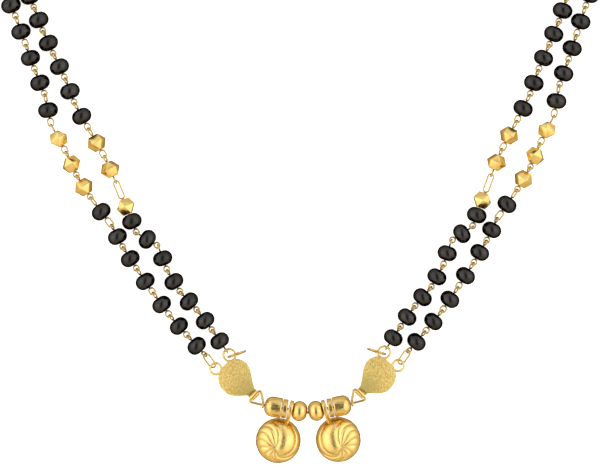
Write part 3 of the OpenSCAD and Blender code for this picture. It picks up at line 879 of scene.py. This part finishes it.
class MANGALSUTRA_OT_vatis(bpy.types.Operator):
    """Swirled vatis with their bails"""

    bl_idname = "mangalsutra.vatis"
    bl_label = "Vatis"

    def execute(self, context):
        gold = finish_named("Vati gold", vati_gold)
        vati = Vati(sizes().rib_columns)
        low, high = corners("vati_left")
        centre = Vector(((low.x + high.x) / 2 / MM, low.y / MM + vati.radius, 0))
        up = 90 - vati.lean
        foot = turned(up, centre) @ Vector((vati.radius - vati.bail_sink, 0, 0))
        on_wire = up + vati.bail_turn
        wire = turned(on_wire, foot) @ Vector((vati.bail_out, 0, vati.wire_z))
        for side, mirror in (("left", 1), ("right", -1)):
            shape = bmesh.new()
            for (points, faces), place in (
                (vati.shell(), turned(up, centre)),
                (vati.bail(), turned(on_wire + 180, wire)),
            ):
                verts = []
                for point in points:
                    p = place @ point
                    verts.append(shape.verts.new(Vector((p.x * mirror, p.y, p.z)) * MM))
                for face in faces:
                    shape.faces.new([verts[i] for i in face])
            bmesh.ops.recalc_face_normals(shape, faces=shape.faces)
            mesh = bpy.data.meshes.new(f"swirl_vati_{side}")
            shape.to_mesh(mesh)
            shape.free()
            smooth_by_angle(mesh, 50.0)
            join_scene(mesh, f"swirl_vati_{side}", f"vati_{side}", slot="gold", material=gold)
        return {"FINISHED"}


class MANGALSUTRA_OT_clasp(bpy.types.Operator):
    """Plain clasp at the back"""

    bl_idname = "mangalsutra.clasp"
    bl_label = "Clasp"

    def execute(self, context):
        bevelled_copy(
            "clasp", "plain_clasp", "gold", gold_finish(), sizes().clasp_bevel, sharp_angle=40.0
        )
        return {"FINISHED"}


# Stage


class Studio:
    """A white table in a tent: bright sides, softer ends and a broken dark gap overhead."""

    # What the photo shows, in millimetres of the layout, and its turn in degrees
    photo_width = 133.2
    photo_middle = (-1.01, 46.05)
    photo_roll = -1.03
    lens = 135.0
    sensor = 36.0
    clip_start = 0.01

    floor_size = 4.0
    floor_drop = 0.02
    floor_glow = 0.75
    panel = {"at": 0.42, "height": 0.34, "size": (0.28, 0.42), "power": 0.16}

    # How bright the parts of the tent are, and the tint of two of them
    sides = 1.4
    ends = 0.95
    gap = 0.1
    below = 0.78
    under = 0.3
    front_tint = (1.0, 0.88, 0.72, 1.0)
    table_tint = (1.0, 0.84, 0.58, 1.0)

    # Where each part of the tent begins and ends, along x, y or z of a direction of length 1
    sides_x = (0.26, 0.44)
    sides_y = (0.7, 0.9)
    horizon_z = (-0.08, 0.1)
    under_z = (-0.9, -0.5)
    front_y = (-0.75, -0.15)
    table_z = (-0.4, 0.05)

    # The gap's half widths along x and y, where its edge fades, and the folds that break it
    gap_half = (0.28, 0.75)
    gap_edge = (0.4, 1.3)
    fold_scale = 9.0
    fold_edge = (0.38, 0.5)


def tent():
    """Light from all round: how bright it is follows the direction that it comes from."""
    studio = Studio
    world = bpy.data.worlds.new("Tent")
    world.use_nodes = True
    tree = NodeTree(world.node_tree)
    maths = tree.maths

    def fade(value, limits, to_low=0.0, to_high=1.0):
        return tree.span(value, limits, to_low, to_high, easing="SMOOTHSTEP")

    along = tree.add("ShaderNodeTexCoord").outputs["Generated"]
    way = tree.add("ShaderNodeSeparateXYZ")
    tree.link(along, way.inputs["Vector"])
    x, y = (maths("ABSOLUTE", way.outputs[axis]) for axis in "XY")
    beside = maths("MULTIPLY", fade(x, studio.sides_x), fade(y, studio.sides_y, 1.0, 0.0))

    wide, deep = (maths("DIVIDE", value, half) for value, half in zip((x, y), studio.gap_half))
    reach = maths("ADD", maths("MULTIPLY", wide, wide), maths("MULTIPLY", deep, deep))
    folds = tree.noise(along, studio.fold_scale, detail=2.0)
    overhead = fade(reach, studio.gap_edge, 1.0, 0.0)
    broken = maths("MULTIPLY", overhead, fade(folds, studio.fold_edge))

    panels = maths("MULTIPLY", beside, studio.sides - studio.ends)
    rest = maths("MULTIPLY_ADD", broken, studio.gap - studio.ends, studio.ends)
    above = fade(way.outputs["Z"], studio.horizon_z)
    lit = maths("MULTIPLY", maths("ADD", panels, rest), above)
    table = fade(way.outputs["Z"], studio.under_z, studio.under, studio.below)
    light = maths("MULTIPLY_ADD", table, maths("SUBTRACT", 1.0, above), lit)

    front = fade(way.outputs["Y"], studio.front_y, 1.0, 0.0)
    beneath = fade(way.outputs["Z"], studio.table_z, 1.0, 0.0)
    colour = (1.0, 1.0, 1.0, 1.0)
    for part, tint in ((front, studio.front_tint), (beneath, studio.table_tint)):
        colour = tree.mix(part, colour, tint)
    background = tree.nodes["Background"]
    tree.link(light, background.inputs["Strength"])
    tree.link(colour, background.inputs["Color"])
    return world


def area_light(name, place, target, size, power):
    light = bpy.data.lights.new(name, "AREA")
    light.shape = "RECTANGLE"
    light.size, light.size_y = size
    light.energy = power
    lamp = bpy.data.objects.new(name, light)
    lamp.location = place
    lamp.rotation_euler = (Vector(target) - Vector(place)).to_track_quat("-Z", "Y").to_euler()
    bpy.context.scene.collection.objects.link(lamp)


class MANGALSUTRA_OT_studio(bpy.types.Operator):
    """Floor, lights, surroundings and camera"""

    bl_idname = "mangalsutra.studio"
    bl_label = "Studio"

    def execute(self, context):
        studio = Studio
        scene = context.scene
        look_at = layout.place(*studio.photo_middle, layout.strand_z)

        below = (0, 0, -studio.floor_drop * MM)
        bpy.ops.mesh.primitive_plane_add(size=studio.floor_size, location=below)
        floor = context.object
        floor.name = "studio_floor"
        white = Finish("White table")
        white.paint(6, (0.93, 0.93, 0.93), (0.97, 0.97, 0.97), detail=3.0)
        white.set(Roughness=0.9, Emission_Color=(1.0, 1.0, 1.0, 1.0))
        white.set(Emission_Strength=studio.floor_glow)
        floor.data.materials.append(white.material)
        floor.visible_glossy = False

        panel = studio.panel
        for name, sign in (("Light left", -1), ("Light right", 1)):
            place = look_at + Vector((sign * panel["at"], 0, panel["height"]))
            area_light(name, place, look_at, panel["size"], panel["power"])
        scene.world = tent()
        scene.view_settings.view_transform = "Standard"

        camera = bpy.data.cameras.new("Camera")
        camera.lens = studio.lens
        camera.sensor_width = studio.sensor
        camera.clip_start = studio.clip_start
        viewer = bpy.data.objects.new("Camera", camera)
        distance = studio.photo_width * MM * studio.lens / studio.sensor
        viewer.location = look_at + Vector((0, 0, distance))
        viewer.rotation_euler = (0, 0, math.radians(studio.photo_roll))
        scene.collection.objects.link(viewer)
        scene.camera = viewer
        return {"FINISHED"}


class MANGALSUTRA_PT_panel(bpy.types.Panel):
    bl_label = "Mangalsutra"
    bl_idname = "MANGALSUTRA_PT_panel"
    bl_space_type = "VIEW_3D"
    bl_region_type = "UI"
    bl_category = "Mangalsutra"

    def draw(self, context):
        for group in (context.scene.mangalsutra_sizes, context.scene.mangalsutra_colours):
            for name in group.bl_rna.properties.keys():
                if name not in ("rna_type", "name"):
                    self.layout.prop(group, name)
        for operator in OPERATORS:
            self.layout.operator(operator.bl_idname)


OPERATORS = (
    MANGALSUTRA_OT_black_beads,
    MANGALSUTRA_OT_gold_beads,
    MANGALSUTRA_OT_wires,
    MANGALSUTRA_OT_hidden_links,
    MANGALSUTRA_OT_plates,
    MANGALSUTRA_OT_balls,
    MANGALSUTRA_OT_vatis,
    MANGALSUTRA_OT_clasp,
    MANGALSUTRA_OT_studio,
)
CLASSES = (MangalsutraSizes, MangalsutraColours, *OPERATORS, MANGALSUTRA_PT_panel)


def register():
    for cls in CLASSES:
        bpy.utils.register_class(cls)
    bpy.types.Scene.mangalsutra_sizes = PointerProperty(type=MangalsutraSizes)
    bpy.types.Scene.mangalsutra_colours = PointerProperty(type=MangalsutraColours)


def unregister():
    del bpy.types.Scene.mangalsutra_colours
    del bpy.types.Scene.mangalsutra_sizes
    for cls in reversed(CLASSES):
        bpy.utils.unregister_class(cls)


def main():
    register()
    bpy.ops.mangalsutra.black_beads()
    bpy.ops.mangalsutra.gold_beads()
    bpy.ops.mangalsutra.wires()
    bpy.ops.mangalsutra.hidden_links()
    bpy.ops.mangalsutra.plates()
    bpy.ops.mangalsutra.balls()
    bpy.ops.mangalsutra.vatis()
    bpy.ops.mangalsutra.clasp()
    bpy.ops.mangalsutra.studio()
    bpy.context.view_layer.update()


if __name__ == "__main__":
    main()
